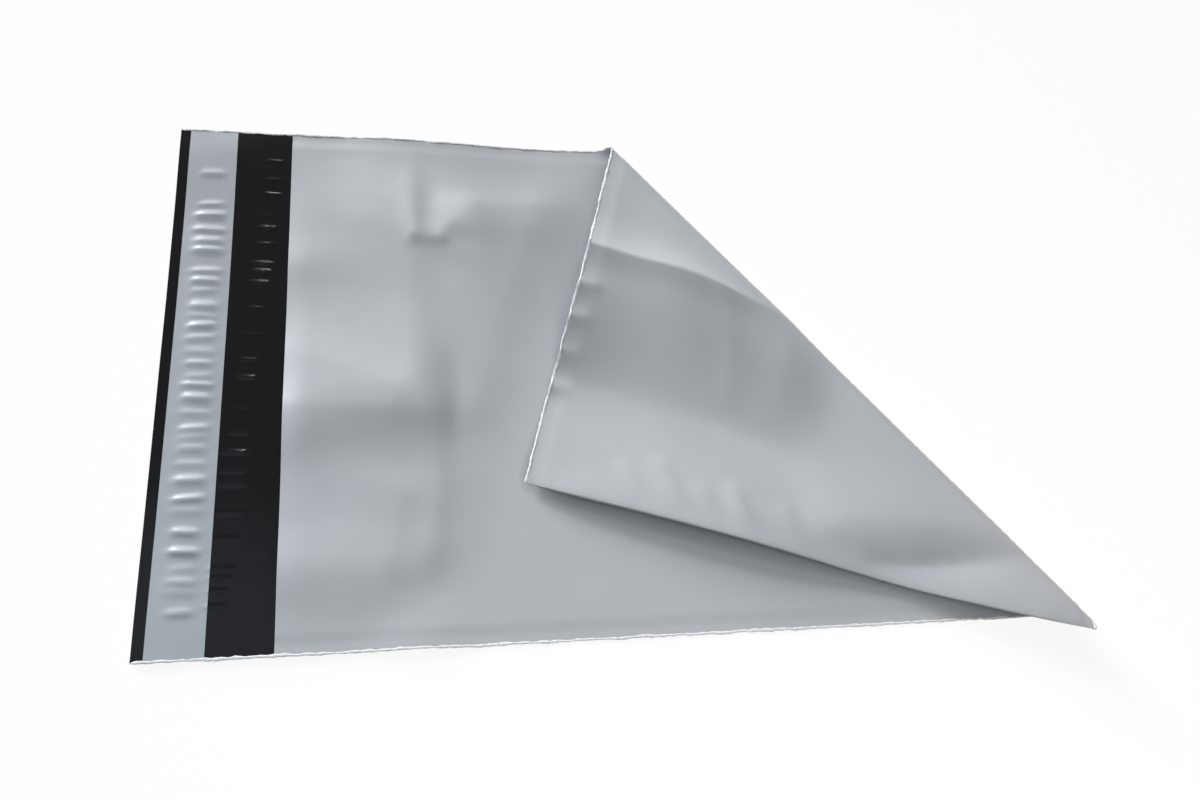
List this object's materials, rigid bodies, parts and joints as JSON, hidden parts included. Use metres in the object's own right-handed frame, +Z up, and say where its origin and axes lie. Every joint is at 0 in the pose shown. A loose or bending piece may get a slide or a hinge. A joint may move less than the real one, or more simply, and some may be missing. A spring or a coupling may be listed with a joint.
{
  "type": "poly mailer bag",
  "caption": "Flat film mailing bag with a peel-and-seal flap, lying empty and open at the mouth with its closed corner folded over the front.",
  "frame": {"origin": "middle of the folded bag's outline, on the surface that it lies on", "axes": "+X from the flap towards the bottom fold, along the side welds; +Y across the bag to the side edge where the diagonal fold starts; +Z up, out of the front panel"},
  "size_m": [0.3862, 0.2612, 0.0191],
  "materials": {
    "film": "satin outside; the inner face of the same film is glossy black",
    "adhesive": "tacky hot-melt",
    "liner": "satin, silicone coated"
  },
  "bodies": {
    "root": {"bag_film": "film", "adhesive_strip": "adhesive", "release_liner": "liner"}
  },
  "joints": []
}
